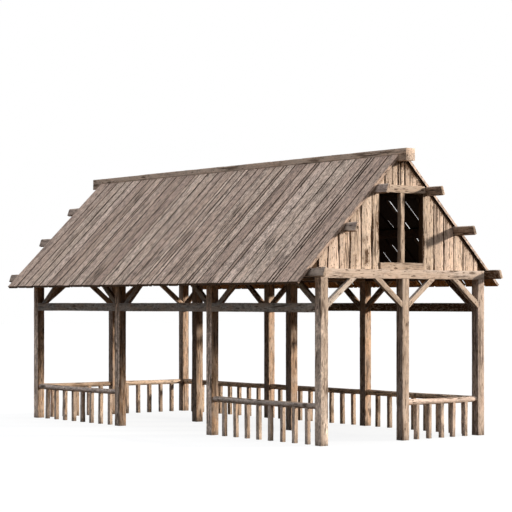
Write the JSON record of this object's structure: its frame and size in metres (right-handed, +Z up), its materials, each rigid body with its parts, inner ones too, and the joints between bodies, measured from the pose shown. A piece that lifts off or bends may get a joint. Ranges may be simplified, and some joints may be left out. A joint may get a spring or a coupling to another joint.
{
  "type": "wooden market stall",
  "caption": "Open timber market stall: braced post frames, log railings with entrances, and a steep boarded gable roof with a loft opening in each gable.",
  "frame": {"origin": "middle of the stall's whole box, at ground level", "axes": "X along the ridge towards the gable with the open half, Y from the front with the open middle bay to the back, Z up"},
  "size_m": [12.056, 5.6374, 5.9064],
  "materials": {
    "frame_timber": "weathered sawn timber",
    "roof_boards": "weathered grey boards",
    "gable_boards": "weathered tan boards",
    "railing": "peeled round and split wood"
  },
  "bodies": {
    "root": {"front_posts": "frame_timber", "middle_posts": "frame_timber", "back_posts": "frame_timber", "tie_beam_1": "frame_timber", "tie_beam_2": "frame_timber", "tie_beam_3": "frame_timber", "tie_beam_4": "frame_timber", "front_eaves_beams": "frame_timber", "back_eaves_beams": "frame_timber", "front_girts": "frame_timber", "back_girts": "frame_timber", "frame_braces_1": "frame_timber", "frame_braces_4": "frame_timber", "front_eaves_braces": "frame_timber", "back_eaves_braces": "frame_timber", "front_rafters": "frame_timber", "back_rafters": "frame_timber", "ridge_beam": "frame_timber", "front_low_purlin": "frame_timber", "front_mid_purlin": "frame_timber", "front_top_purlin": "frame_timber", "back_low_purlin": "frame_timber", "back_mid_purlin": "frame_timber", "back_top_purlin": "frame_timber", "loft_jambs": "frame_timber", "front_roof": "roof_boards", "back_roof": "roof_boards", "left_gable_boards": "gable_boards", "right_gable_boards": "gable_boards", "left_collar": "gable_boards", "right_collar": "gable_boards", "left_mullion": "gable_boards", "right_mullion": "gable_boards", "left_sill": "gable_boards", "right_sill": "gable_boards", "front_left_railing": "railing", "front_right_railing": "railing", "back_left_railing": "railing", "back_middle_railing": "railing", "back_right_railing": "railing", "left_front_railing": "railing", "left_back_railing": "railing", "right_back_railing": "railing"}
  },
  "joints": []
}
